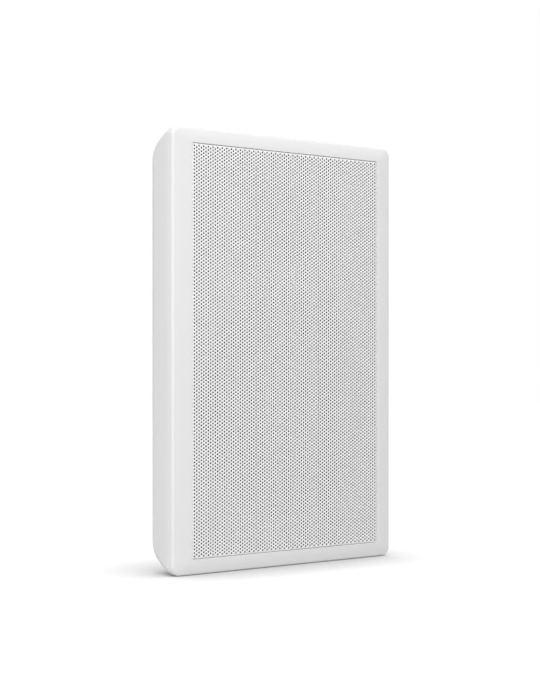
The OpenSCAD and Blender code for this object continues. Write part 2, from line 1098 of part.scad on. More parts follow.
// The two wires from the crossover board to the woofer's tags
module woofer_wires() {
    tag_z = flange_z + tag_end_z;
    color("navy")
        upright() {
            wire([
                [32.3, 24.9, tag_z], [32.3, 24.9, 18], [38, 34, 12], [50, 46, 9.5],
                [54, 57, 9.5], [54.5, 60, 10.5], [54.5, 60, board_z]
            ], wire_r);
            wire([
                [40.9, 19.9, tag_z], [40.9, 19.9, 18], [46, 30, 12], [56, 46, 9.5],
                [60, 57, 9.5], [60, 60, 10.5], [60, 60, board_z]
            ], wire_r);
        }
}

// The two wires from the crossover board to the tweeter's tags
module tweeter_wires() {
    tag_x = tweeter_motor_r + 1.4;
    tag_z = dome_z - 14.6;
    color("olive")
        upright() {
            wire([
                [tag_x, tweeter_y - 4.5, tag_z], [tag_x, tweeter_y - 4.5, 16], [26, 89, 10.5], [38, 84, 10],
                [49, 79, 10], [52, 78, 10.8], [52, 78, board_z]
            ], wire_r);
            wire([
                [tag_x, tweeter_y + 4.5, tag_z], [tag_x, tweeter_y + 4.5, 16], [26, 99, 10.5], [38, 95, 10],
                [49, 91, 10], [52, 90, 10.8], [52, 90, board_z]
            ], wire_r);
        }
}

front_baffle();
rear_cabinet();
cabinet_gasket();
cabinet_screws();
wall_pads();
grille();
port_tube();
woofer_basket();
woofer_gasket();
woofer_surround();
woofer_cone();
woofer_dust_cap();
woofer_spider();
woofer_coil_former();
woofer_voice_coil();
woofer_top_plate();
woofer_magnet();
woofer_yoke();
woofer_terminals();
woofer_tinsel_leads();
woofer_screws();
tweeter_faceplate();
tweeter_dome();
tweeter_voice_coil();
tweeter_top_plate();
tweeter_magnet();
tweeter_yoke();
tweeter_terminals();
tweeter_screws();
crossover_board();
crossover_capacitors();
crossover_inductors();
crossover_resistor();
crossover_screws();
terminal_block();
terminal_clamps();
terminal_screws();
damping_foam();
input_wires();
woofer_wires();
tweeter_wires();
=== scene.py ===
"""Looks of the flat wall speaker, laid out as an add-on and run as a script.

Shapes are worked out in millimetres as x, y and height above the wall, seen from the front, and
upright() hangs them on the wall: x stays, the height goes to -Y and y becomes Z.
"""

import json
import math

import bmesh
import bpy
import numpy as np
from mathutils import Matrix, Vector
from mathutils.geometry import tessellate_polygon


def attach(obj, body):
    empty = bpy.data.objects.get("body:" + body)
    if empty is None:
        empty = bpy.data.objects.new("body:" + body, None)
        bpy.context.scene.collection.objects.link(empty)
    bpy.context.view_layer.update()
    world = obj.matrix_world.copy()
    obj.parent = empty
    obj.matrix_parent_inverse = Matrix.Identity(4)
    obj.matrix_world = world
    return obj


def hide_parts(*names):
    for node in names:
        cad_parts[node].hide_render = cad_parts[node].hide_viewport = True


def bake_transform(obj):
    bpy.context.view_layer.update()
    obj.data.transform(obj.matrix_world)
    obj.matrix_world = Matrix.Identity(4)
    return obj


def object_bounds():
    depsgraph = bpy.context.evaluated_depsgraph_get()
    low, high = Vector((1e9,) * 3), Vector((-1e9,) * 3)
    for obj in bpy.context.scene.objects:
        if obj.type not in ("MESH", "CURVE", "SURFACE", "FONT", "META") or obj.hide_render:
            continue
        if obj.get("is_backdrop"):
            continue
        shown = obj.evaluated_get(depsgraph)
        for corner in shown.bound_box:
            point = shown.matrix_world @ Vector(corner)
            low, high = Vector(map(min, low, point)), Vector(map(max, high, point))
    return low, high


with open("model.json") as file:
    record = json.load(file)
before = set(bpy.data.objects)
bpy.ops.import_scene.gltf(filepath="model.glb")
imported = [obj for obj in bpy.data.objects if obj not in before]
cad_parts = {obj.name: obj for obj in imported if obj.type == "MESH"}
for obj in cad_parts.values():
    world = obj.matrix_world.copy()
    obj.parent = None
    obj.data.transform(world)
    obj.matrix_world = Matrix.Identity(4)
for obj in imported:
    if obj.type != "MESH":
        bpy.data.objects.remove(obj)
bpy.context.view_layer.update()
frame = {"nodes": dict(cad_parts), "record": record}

bl_info = {
    "name": "Flat wall speaker",
    "version": (1, 0, 0),
    "blender": (4, 2, 0),
    "location": "View3D > Sidebar > Speaker",
    "description": "Builds the pieces, finishes and stage of a flat wall speaker",
    "category": "Object",
}

MM = 0.001
CABINET, CONE = "cabinet", "cone"

# The cabinet in millimetres: its outside, heights above the wall, edges, walls and columns
BODY_W, BODY_H = 217.6, 320.6
BACK_Z, SIDE_Z, SEAM_Z, BAFFLE_Z, RIM_Z, EDGE_Z = 2.0, 33.0, 36.0, 40.0, 44.0, 41.5
SIDE_INSET, SIDE_DRAFT, CORNER_R, BACK_CORNER_R = 6.5, 0.3, 7.0, 20.0
FRONT_EDGE_R, BACK_EDGE_R, WALL_T, LAP_T = 2.0, 17.5, 2.5, 1.2
COLUMN_X, COLUMN_Y, COLUMN_R = 82.0, 135.0, 4.5
LEAN = math.atan(SIDE_INSET / (SIDE_Z - BACK_Z))

# The opening in the frame, and the sheet that is pressed into the groove round it
OPENING_W, OPENING_H, GROOVE_W = 185.0, 298.0, 1.8
BEVEL = math.atan((RIM_Z - EDGE_Z) / ((BODY_W - OPENING_W) / 2))
SHEET_FRONT_Z, SHEET_T, SHEET_GAP, FOLD_Z = 43.6, 1.0, 0.4, 38.0

# The drivers and the port: their middles from the front, and what the baffle needs of them
WOOFER, TWEETER, PORT = (0.0, -41.0), (0.0, 96.0), (-42.5, 63.5)
WOOFER_R, FLANGE_Z, FLANGE_T = 83.0, 41.5, 3.0
TWEETER_W, TWEETER_H, TWEETER_T = 62.0, 60.0, 3.0

# The woofer's moving parts: radii, and heights from the front of its flange
COIL_R, CONE_R, CONE_T, NECK_Z, CONE_RISE, CONE_BOW = 12.9, 55.4, 0.8, -13.7, 9.4, 0.86
LAND_Z, SPIDER_Z, SOFT_T = -3.5, -19.5, 0.6

# The back: a terminal recess with a cable channel, keyholes, pads and screws
INNER_Z = 3.0
RECESS_X, RECESS_LOW, RECESS_TOP, RECESS_Z = 30.0, -133.0, -103.0, 16.0
CHANNEL_X, CHANNEL_Z = 4.5, 7.5
KEYHOLES = ((-60.0, 108.0), (60.0, 108.0))
HEAD_R, NECK_R, SLIDE, POCKET_R, POCKET_Z = 4.5, 2.3, 10.0, 5.0, 9.5
PAD_X, PAD_Y, PAD_R, PAD_Z = 68.0, 126.0, 6.02, 2.6
SCREW_HEAD_R, SCREW_HEAD_Z, SCREW_R, COLUMN_Z = 3.6, 6.5, 1.9, 30.0

# The camera in metres, worked out from the edges of the cabinet and of its opening
CAMERA_AT, CAMERA_TURN = (-0.88077, -1.02313, -0.00847), -41.35
CAMERA_LENS, CAMERA_SHIFT = 90.51, 0.0183

# The lamps in metres: where each stands, and its width and height. All face the speaker's middle.
LAMPS = {
    "key": ((-0.6, -1.1, 0.25), (1.2, 1.2)),
    "top": ((0.0, -0.6, 1.6), (1.0, 1.0)),
    "side": ((-1.5, 0.35, 0.3), (1.0, 1.4)),
}


# Shapes


def upright(points):
    """World metres of (x, y, height) in millimetres: x, minus the height, y."""
    points = np.asarray(points, float)
    return np.stack([points[..., 0], -points[..., 2], points[..., 1]], axis=-1) * MM


def outline(w, h, r, steps=12, support=0.6):
    """A rounded rectangle, corner by corner: corner centre plus r times (cos, sin) over 90 degrees.
    One more point on each side of a corner keeps the straight runs flat when they are shaded."""
    r = max(r, 0.05)
    turn = np.linspace(0, math.pi / 2, steps + 1)
    rows = []
    for k, (sx, sy) in enumerate(((1, 1), (-1, 1), (-1, -1), (1, -1))):
        a = turn + k * math.pi / 2
        arc = np.stack([np.cos(a), np.sin(a)], -1) * r + [sx * (w / 2 - r), sy * (h / 2 - r)]
        first = arc[0] - support * np.array([-math.sin(a[0]), math.cos(a[0])])
        last = arc[-1] + support * np.array([-math.sin(a[-1]), math.cos(a[-1])])
        rows += [first[None], arc, last[None]]
    return np.concatenate(rows)


def circle(x, y, r, steps=96):
    """Points of a circle: centre plus r times (cos, sin)."""
    a = np.arange(steps) * 2 * math.pi / steps
    return np.stack([x + r * np.cos(a), y + r * np.sin(a)], -1)


def box_loop(x0, x1, y0, y1, grow=0.0):
    """Four corners of a rectangle, moved out by grow."""
    x0, x1, y0, y1 = x0 - grow, x1 + grow, y0 - grow, y1 + grow
    return np.array([[x0, y0], [x1, y0], [x1, y1], [x0, y1]], float)


def slot_loop(x, y, r, slide, steps=24):
    """A stadium that stands on its lower round end: half a circle at each end of a straight run."""
    a = np.linspace(0, math.pi, steps)
    top = np.stack([x + r * np.cos(a), y + slide + r * np.sin(a)], -1)
    low = np.stack([x - r * np.cos(a), y - r * np.sin(a)], -1)
    return np.concatenate([top, low])


def body(grow, z, r):
    """A row [half width, half height, height above the wall, corner radius] of the cabinet."""
    return np.array([BODY_W / 2 + grow, BODY_H / 2 + grow, z, r])


def mouth(grow, z, r):
    """The same for the opening in the frame."""
    return np.array([OPENING_W / 2 + grow, OPENING_H / 2 + grow, z, r])


def front_arc(steps=12):
    """Rows of the edge between frame and side: a quarter turn less the bevel, which starts at the
    upright side (angle 0) and ends where its normal is the bevel's."""
    v = EDGE_Z - FRONT_EDGE_R * (1 - math.sin(BEVEL)) / math.cos(BEVEL)
    a = np.linspace(0, math.pi / 2 - BEVEL, steps + 1)
    grow = FRONT_EDGE_R * (np.cos(a) - 1)
    return [body(g, v + FRONT_EDGE_R * math.sin(t), CORNER_R + g) for g, t in zip(grow, a)]


def side_row(z, skin=0.0):
    """The row of the upright part of the side at a height: its half sizes shrink in proportion to the
    way down from the front edge, by the side's draft in all."""
    top = front_arc()[0][2]
    grow = -skin - SIDE_DRAFT * (top - z) / (top - SIDE_Z)
    return body(grow, z, CORNER_R + grow)


def back_arc(skin, steps=20):
    """Rows of the edge between side and back: an arc from the leaning side's normal to straight
    back, while the corner radius goes evenly with the height to that of the back."""
    v = BACK_Z + BACK_EDGE_R
    u = (math.sin(LEAN) * (v - SIDE_Z) - BACK_EDGE_R) / math.cos(LEAN) - SIDE_DRAFT
    a = np.linspace(-LEAN, -math.pi / 2, steps + 1)
    r = BACK_EDGE_R - skin
    rise = BACK_EDGE_R * (1 + np.sin(a)) / (SIDE_Z - BACK_Z)
    corner = BACK_CORNER_R + (CORNER_R - BACK_CORNER_R) * rise - skin * np.cos(a)
    return [body(u + r * math.cos(t), v + r * math.sin(t), c) for t, c in zip(a, corner)]


def bend_rows(top, low, skin=0.0, steps=8):
    """Rows of the soft bend between the upright and the leaning side: a curve of the second degree
    that touches both, from the row top to the row low."""
    mid = side_row(SIDE_Z + skin * math.tan(LEAN / 2), skin)
    return [(1 - t) ** 2 * top + 2 * t * (1 - t) * mid + t * t * low for t in np.linspace(0, 1, steps + 1)]


def between_rows(a, b, share):
    """The row at a share of the way from row a to row b."""
    return a + (b - a) * share


def loft(rows):
    """Rounded rectangles stacked along rows [half width, half height, height, corner radius]."""
    return np.stack(
        [
            np.column_stack([o, np.full(len(o), z)])
            for o, z in ((outline(2 * w, 2 * h, r), z) for w, h, z, r in rows)
        ]
    )


def turned(profile, x, y, z, steps=96, start=0.0, end=2 * math.pi):
    """A profile of (radius, height) turned about the line through x, y: radius times (cos, sin)."""
    whole = abs(end - start - 2 * math.pi) < 1e-9
    a = np.linspace(start, end, steps, endpoint=not whole)
    r, h = np.asarray(profile, float).T
    return np.stack(
        [x + r[:, None] * np.cos(a), y + r[:, None] * np.sin(a), z + h[:, None] + 0 * a], -1
    )


def spline(points, steps=8):
    """A smooth curve through points: on each stretch a curve of the third degree whose slope at
    each point is half the step between the point's neighbours."""
    p = np.asarray(points, float)
    p = np.concatenate([p[:1], p, p[-1:]])
    t = np.linspace(0, 1, steps, endpoint=False)[None, :, None]
    a, b, c, d = (p[k : len(p) - 3 + k, None] for k in range(4))
    curve = 0.5 * (2 * b + (c - a) * t + (2 * a - 5 * b + 4 * c - d) * t**2 + (3 * b - a - 3 * c + d) * t**3)
    return np.concatenate([curve.reshape(-1, 3), p[-1:]])


def tube(path, r, sides=10):
    """Rings of radius r round a path: r times (cos, sin) in the plane square to the path."""
    along = np.gradient(path, axis=0)
    along /= np.linalg.norm(along, axis=1, keepdims=True)
    across = np.cross(along, [0.31, 0.53, 0.79])
    across /= np.linalg.norm(across, axis=1, keepdims=True)
    up = np.cross(along, across)
    a = (np.arange(sides) * 2 * math.pi / sides)[None, :, None]
    return path[:, None] + r * (np.cos(a) * across[:, None] + np.sin(a) * up[:, None])


class Form:
    """Collects surfaces in millimetres and makes one piece of them."""

    def __init__(self):
        self.points, self.faces, self.count = [], [], 0

    def add(self, points, faces):
        """Adds points and the faces between them."""
        points = np.asarray(points, float).reshape(-1, 3)
        self.points.append(points)
        self.faces += (np.asarray(faces) + self.count).tolist()
        self.count += len(points)
        return self

    def grid(self, points, wrap_rows=False, wrap_columns=False):
        """Four-sided faces between neighbours i, j and i + 1, j + 1 of a grid of points."""
        rows, columns = points.shape[:2]
        i = np.arange(rows if wrap_rows else rows - 1)[:, None]
        j = np.arange(columns if wrap_columns else columns - 1)[None, :]
        n, m = (i + 1) % rows, (j + 1) % columns
        quads = np.stack([i * columns + j, i * columns + m, n * columns + m, n * columns + j], -1)
        return self.add(points, quads.reshape(-1, 4))

    def face(self, loops, z):
        """A flat face at a height: the first loop is its edge and the others are holes in it."""
        flat = [np.column_stack([l, np.full(len(l), z)]) for l in loops]
        triangles = tessellate_polygon([l.tolist() for l in flat])
        return self.add(np.concatenate(flat), np.array(triangles))

    def prism(self, loops, low, high):
        """A plate between two heights: its two flat faces, and a wall along each loop."""
        self.face(loops, high).face(loops, low)
        for l in loops:
            wall = np.stack([np.column_stack([l, np.full(len(l), z)]) for z in (low, high)])
            self.grid(wall, wrap_columns=True)
        return self

    def mesh(self, name, sharp=35):
        """The mesh, hung upright: doubles are merged, normals turned outwards, creases kept."""
        made = bpy.data.meshes.new(name)
        made.from_pydata(upright(np.concatenate(self.points)).tolist(), [], self.faces)
        b = bmesh.new()
        b.from_mesh(made)
        bmesh.ops.remove_doubles(b, verts=b.verts, dist=2e-6)
        bmesh.ops.dissolve_degenerate(b, edges=b.edges, dist=1e-7)
        bmesh.ops.recalc_face_normals(b, faces=b.faces)
        b.to_mesh(made)
        b.free()
        made.shade_smooth()
        made.set_sharp_from_angle(angle=math.radians(sharp))
        return made

    def piece(self, name, finish, body, nodes, slot, sharp=35):
        """The finished piece, riding on its body in place of the CAD nodes."""
        return place(name, self.mesh(name, sharp), finish, body, nodes)


def place(name, mesh, finish, body, nodes):
    """Puts a mesh in the scene as a piece of the speaker."""
    piece = bpy.data.objects.new(name, mesh)
    bpy.context.scene.collection.objects.link(piece)
    mesh.materials.clear()
    mesh.materials.append(finish)
    if body:
        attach(piece, body)
    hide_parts(*nodes)
    return piece


def carve(mesh, added, cut):
    """Joins prisms to a closed mesh and cuts others out of it, with the exact solver."""
    block = bpy.data.objects.new("carve_block", mesh)
    link = bpy.context.scene.collection.objects.link
    link(block)
    tools = []
    for kind, forms in (("UNION", added), ("DIFFERENCE", cut)):
        for n, form in enumerate(forms):
            tool = bpy.data.objects.new(f"carve_{kind}_{n}", form.mesh("carve"))
            link(tool)
            tools.append(tool)
            step = block.modifiers.new(tool.name, "BOOLEAN")
            step.operation, step.solver, step.object = kind, "EXACT", tool
    bpy.context.view_layer.update()
    result = bpy.data.meshes.new_from_object(
        block.evaluated_get(bpy.context.evaluated_depsgraph_get())
    )
    for o in [block, *tools]:
        bpy.data.objects.remove(o)
    result.shade_smooth()
    result.set_sharp_from_angle(angle=math.radians(35))
    return result


# Finishes


class Value:
    """One number that varies over a surface; arithmetic on it adds Math nodes."""

    def __init__(self, finish, socket):
        self.finish, self.socket = finish, socket

    def math(self, operation, *others):
        """A Math node on this number and others."""
        return self.finish.node("Math", {"operation": operation}, {0: self, **dict(enumerate(others, 1))})

    def __add__(self, other):
        return self.math("ADD", other)

    def __mul__(self, other):
        return self.math("MULTIPLY", other)

    def __sub__(self, other):
        return self.math("SUBTRACT", other)

    def __rsub__(self, other):
        return self.finish.node("Math", {"operation": "SUBTRACT"}, {0: other, 1: self})

    __radd__, __rmul__ = __add__, __mul__

    def smooth(self, low, high):
        """0 below low, 1 above high and an even curve between them."""
        return self.finish.node(
            "MapRange",
            {"interpolation_type": "SMOOTHSTEP"},
            {"Value": self, "From Min": low, "From Max": high},
        )


class Finish:
    """A material with one main shader. Constant settings are set straight on the shader's sockets."""

    def __init__(self, name, colour, roughness, **constants):
        self.name = name
        self.material = bpy.data.materials.new(name + "_finish")
        self.material.use_nodes = True
        self.tree = self.material.node_tree
        self.shader = next(n for n in self.tree.nodes if n.type == "BSDF_PRINCIPLED")
        self.set("Base Color", (*colour, 1.0))
        self.set("Roughness", roughness)
        for key, value in constants.items():
            self.set(key.replace("_", " "), value)
        self.material.diffuse_color = (*colour, 1.0)
        self.roughness, self.bumps = roughness, None

    def node(self, kind, settings, inputs, out=0):
        """Adds a node: its settings first, then a value or a link for each socket named."""
        made = self.tree.nodes.new("ShaderNode" + kind)
        for key, value in settings.items():
            setattr(made, key, value)
        for key, value in inputs.items():
            if isinstance(value, Value):
                self.tree.links.new(value.socket, made.inputs[key])
            else:
                made.inputs[key].default_value = value
        return Value(self, made.outputs[out])

    def set(self, socket, value):
        """Sets one of the shader's sockets, or links a varying value to it."""
        if isinstance(value, Value):
            self.tree.links.new(value.socket, self.shader.inputs[socket])
        else:
            self.shader.inputs[socket].default_value = value
        return self

    def at(self):
        """The place on the object, in metres."""
        return self.node("TexCoord", {}, {}, "Object")

    def along(self, axis):
        """One coordinate of the place."""
        return self.node("SeparateXYZ", {}, {"Vector": self.at()}, axis)

    def grain(self, size_mm, detail=2.0, roughness=0.5, stretch=None):
        """Noise between 0 and 1 whose spots are about size_mm wide."""
        at = self.at()
        if stretch:
            at = self.node("Mapping", {}, {"Vector": at, "Scale": stretch})
        inputs = {"Vector": at, "Scale": 1000.0 / size_mm, "Detail": detail, "Roughness": roughness}
        return self.node("TexNoise", {}, inputs)

    def cells(self, size_mm):
        """Distance to the nearest of points that lie about size_mm apart."""
        return self.node("TexVoronoi", {}, {"Vector": self.at(), "Scale": 1000.0 / size_mm}, "Distance")

    def blend(self, share, colour):
        """Goes from the base colour to another by a varying share."""
        base = self.shader.inputs["Base Color"]
        mix = self.tree.nodes.new("ShaderNodeMix")
        mix.data_type = "RGBA"
        if base.is_linked:
            self.tree.links.new(base.links[0].from_socket, mix.inputs["A"])
        else:
            mix.inputs["A"].default_value = base.default_value
        mix.inputs["B"].default_value = (*colour, 1.0)
        self.tree.links.new(share.socket, mix.inputs["Factor"])
        self.tree.links.new(mix.outputs["Result"], base)
        return self

    def rough(self, share, spread):
        """Roughness that varies by spread either side of its base."""
        return self.set("Roughness", (share - 0.5) * (2 * spread) + self.roughness)

    def bump(self, height, depth_mm, strength=1.0):
        """Raises the surface by a height map of the given depth."""
        inputs = {"Height": height, "Distance": depth_mm * MM, "Strength": strength}
        if self.bumps:
            inputs["Normal"] = self.bumps
        self.bumps = self.node("Bump", {}, inputs)
        return self.set("Normal", self.bumps)


FINISHES = {}


def finish(name):
    """The material of a finish."""
    return FINISHES[name].material


def moulded_white(name, colour):
    """Fine spark-eroded grain on white plastic, with faint clouding of tone."""
    f = Finish(name, colour, 0.6, Specular_IOR_Level=0.3)
    cloud = f.grain(35, 3)
    f.blend(cloud.smooth(0.35, 0.75) * 0.5, [c * 0.985 for c in colour])
    f.rough(f.grain(9, 2), 0.05)
    return f.bump(f.grain(0.45, 3, 0.6), 0.012, 0.5)


def powder_coat(name, colour, depth=0.012, shaded_below=None):
    """Powder paint on sheet steel: soft orange peel and slightly uneven gloss. Below a height, on the walls
    of punched holes, the colour goes to dark grey: painted shade in the holes."""
    f = Finish(name, colour, 0.45, Specular_IOR_Level=0.4)
    f.blend(f.grain(22, 2).smooth(0.4, 0.8) * 0.4, [c * 0.98 for c in colour])
    # painted shade: below the given height the hole walls are darkened to dark grey
    if shaded_below:
        f.blend(f.along("Y").smooth(-shaded_below * MM, (0.3 - shaded_below) * MM), (0.2, 0.2, 0.205))
    f.rough(f.grain(6, 2), 0.05)
    return f.bump(f.grain(0.9, 2, 0.45), depth, 0.4)


def plated(name, colour, roughness=0.32):
    """Zinc-plated steel: fine rolled streaks and a mottled sheen."""
    f = Finish(name, colour, roughness, Metallic=1.0)
    f.blend(f.cells(3).smooth(0.1, 0.9) * 0.35, [c * 0.86 for c in colour])
    f.rough(f.grain(1.6, 3), 0.12)
    return f.bump(f.grain(0.25, 2, 0.6, stretch=(1.0, 1.0, 0.12)), 0.006, 0.5)


def elastic(name, colour, grain=0.35, roughness=0.62):
    """Moulded rubber: matt skin with a dusty cast in its pores."""
    f = Finish(name, colour, roughness, IOR=1.45)
    f.blend(f.grain(5, 4).smooth(0.45, 0.75) * 0.5, [min(1.0, c * 1.5 + 0.01) for c in colour])
    f.rough(f.grain(2.5, 2), 0.08)
    return f.bump(f.grain(grain, 2, 0.6), 0.02, 0.5)


def foam(name, colour, size):
    """Open foam: a pitted skin of round cells, with painted shade darkening the pits."""
    f = Finish(name, colour, 0.95)
    pits = f.cells(size)
    # painted shade: darker in the pits
    f.blend(1.0 - pits.smooth(0.05, 0.5), [c * 0.45 for c in colour])
    return f.bump(pits, size * 0.35, 0.9)


def pulp(name, colour):
    """Pressed paper pulp: short matted fibres."""
    f = Finish(name, colour, 0.85)
    fibre = f.grain(1.1, 4, 0.65)
    f.blend(fibre.smooth(0.5, 0.72) * 0.6, [min(1.0, c * 2.2 + 0.008) for c in colour])
    return f.bump(fibre, 0.05, 0.6)


def cloth(name, colour, pitch, dark=0.5):
    """Plain weave: two crossed waves over the face, raised where a thread is on top and darkened by painted
    shade where it lies low.
    """
    f = Finish(name, colour, 0.9, Sheen_Weight=0.2)
    x = f.along("X") * (1000 / pitch * math.pi)
    z = f.along("Z") * (1000 / pitch * math.pi)
    weave = (x.math("SINE") * z.math("SINE")) * 0.5 + 0.5
    # painted shade: darker where the weave lies low between threads
    f.blend(1.0 - weave.smooth(0.1, 0.8), [c * dark for c in colour])
    return f.bump(weave, pitch * 0.2, 0.7)


def wound(name, colour, pitch):
    """Enamelled wire wound side by side: round ridges along the coil's height, with painted shade in the
    grooves between the turns.
    """
    f = Finish(name, colour, 0.3, Metallic=1.0, Coat_Weight=0.6, Coat_Roughness=0.15)
    ridge = (f.along("Y") * (1000 / pitch * math.pi)).math("SINE").math("ABSOLUTE")
    # painted shade: darker in the grooves between the turns
    f.blend(1.0 - ridge.smooth(0.0, 0.6), [c * 0.35 for c in colour])
    return f.bump(ridge, pitch * 0.5, 0.9)


def sintered(name, colour):
    """Pressed and fired ferrite or cement: speckled and slightly chalky."""
    f = Finish(name, colour, 0.7)
    speck = f.grain(0.6, 3, 0.7)
    f.blend(speck.smooth(0.55, 0.75) * 0.5, [min(1.0, c * 1.6 + 0.01) for c in colour])
    f.rough(f.grain(4, 2), 0.1)
    return f.bump(speck, 0.03, 0.5)


def glossy(name, colour, roughness=0.2, ripple=2.0):
    """Lacquered or tape-wrapped part: glossy with a slight ripple."""
    f = Finish(name, colour, roughness, Coat_Weight=0.3, Coat_Roughness=0.1)
    f.blend(f.grain(4, 2).smooth(0.4, 0.8) * 0.5, [c * 0.85 for c in colour])
    f.rough(f.grain(3, 2), 0.06)
    return f.bump(f.grain(ripple, 2), 0.05, 0.3)


def fine_black(name, colour):
    """Black moulding with a fine even texture."""
    f = Finish(name, colour, 0.5, IOR=1.5)
    f.blend(f.grain(3, 3).smooth(0.5, 0.8) * 0.4, [min(1.0, c * 1.6 + 0.004) for c in colour])
    f.rough(f.grain(2, 2), 0.06)
    return f.bump(f.grain(0.3, 2, 0.6), 0.015, 0.5)


class SpeakerColours(bpy.types.PropertyGroup):
    """Colours of the finishes."""

    cabinet: bpy.props.FloatVectorProperty(
        name="Cabinet", description="Colour of the moulded cabinet", subtype="COLOR", size=3,
        min=0, max=1, default=(0.83, 0.83, 0.83),
    )
    grille: bpy.props.FloatVectorProperty(
        name="Grille", description="Colour of the grille's powder paint", subtype="COLOR", size=3,
        min=0, max=1, default=(0.93, 0.93, 0.93),
    )
    cone: bpy.props.FloatVectorProperty(
        name="Cone", description="Colour of the woofer's paper cone", subtype="COLOR", size=3,
        min=0, max=1, default=(0.045, 0.045, 0.048),
    )
    cap: bpy.props.FloatVectorProperty(
        name="Dust cap", description="Colour of the woofer's dust cap", subtype="COLOR", size=3,
        min=0, max=1, default=(0.34, 0.34, 0.35),
    )


class SpeakerSizes(bpy.types.PropertyGroup):
    """Sizes that change how fine the pieces are drawn."""

    hole_pitch: bpy.props.FloatProperty(
        name="Hole pitch", description="Distance between neighbouring holes of the grille",
        subtype="DISTANCE", unit="LENGTH", default=0.00249, min=0.0022, max=0.0025,
    )
    hole_width: bpy.props.FloatProperty(
        name="Hole width", description="Diameter of the grille's holes", subtype="DISTANCE",
        unit="LENGTH", default=0.0015, min=0.001, max=0.0017,
    )


class SpeakerLight(bpy.types.PropertyGroup):
    """Strengths of the stage's lamps."""

    room: bpy.props.FloatProperty(
        name="Room", description="Strength of the even light from all round", default=0.32, min=0,
    )
    key: bpy.props.FloatProperty(
        name="Key", description="Power of the near lamp at the left and in front", subtype="POWER",
        unit="POWER", default=8.5, min=0,
    )
    top: bpy.props.FloatProperty(
        name="Top", description="Power of the lamp above", subtype="POWER",
        unit="POWER", default=17.4, min=0,
    )
    side: bpy.props.FloatProperty(
        name="Side", description="Power of the lamp at the left and behind", subtype="POWER",
        unit="POWER", default=10.5, min=0,
    )
    # the share of the floor's glow that carries the painted contact shadow
    floor: bpy.props.FloatProperty(
        name="Floor", description="How much the floor glows to the camera beside the speaker",
        default=0.94, min=0, max=1,
    )


class SpeakerOperator:
    """What the speaker's operators share."""

    bl_options = {"REGISTER", "UNDO"}

    @classmethod
    def poll(cls, context):
        return bool(frame["nodes"])


class SPEAKER_OT_finishes(SpeakerOperator, bpy.types.Operator):
    """Makes every finish and puts it on the CAD nodes that stay in view"""

    bl_idname = "speaker.finishes"
    bl_label = "Finishes"

    def execute(self, context):
        colours = context.scene.speaker_colours
        made = [
            moulded_white("white_plastic", list(colours.cabinet)),
            powder_coat("white_steel", list(colours.grille)),
            # the grille's hole walls get painted shade below the sheet's front face
            powder_coat("punched_steel", list(colours.grille), shaded_below=SHEET_FRONT_Z - 0.02),
            powder_coat("black_steel", (0.03, 0.03, 0.032)),
            plated("plain_steel", (0.62, 0.62, 0.6)),
            sintered("ferrite", (0.07, 0.07, 0.075)),
            elastic("black_rubber", (0.03, 0.03, 0.03)),
            elastic("grey_rubber", (0.2, 0.2, 0.2)),
            foam("gasket_foam", (0.05, 0.05, 0.05), 0.5),
            foam("damping_foam", (0.3, 0.31, 0.33), 1.2),
            pulp("cone_paper", list(colours.cone)),
            fine_black("cap_plastic", list(colours.cap)),
            cloth("spider_cloth", (0.6, 0.45, 0.2), 0.8),
            cloth("dome_cloth", (0.025, 0.025, 0.03), 0.4),
            pulp("former_board", (0.45, 0.3, 0.16)),
            wound("copper", (0.72, 0.4, 0.24), 0.35),
            plated("brass", (0.78, 0.62, 0.32), 0.28),
            plated("tinned_tag", (0.7, 0.68, 0.6), 0.3),
            fine_black("black_plastic", (0.03, 0.03, 0.03)),
            moulded_white("port_plastic", (0.6, 0.6, 0.6)),
            glossy("board", (0.05, 0.2, 0.09), 0.3),
            glossy("film_yellow", (0.75, 0.6, 0.2), 0.25),
            sintered("white_ceramic", (0.8, 0.79, 0.75)),
            glossy("wire_red", (0.5, 0.03, 0.03), 0.4),
            glossy("wire_blue", (0.04, 0.1, 0.4), 0.4),
            glossy("wire_green", (0.05, 0.3, 0.1), 0.4),
        ]
        FINISHES.update({f.name: f for f in made})
        for part in frame["record"]["subparts"]:
            mesh = frame["nodes"][part["node"]].data
            mesh.materials.clear()
            mesh.materials.append(finish(part["material_slot"]))
        return {"FINISHED"}


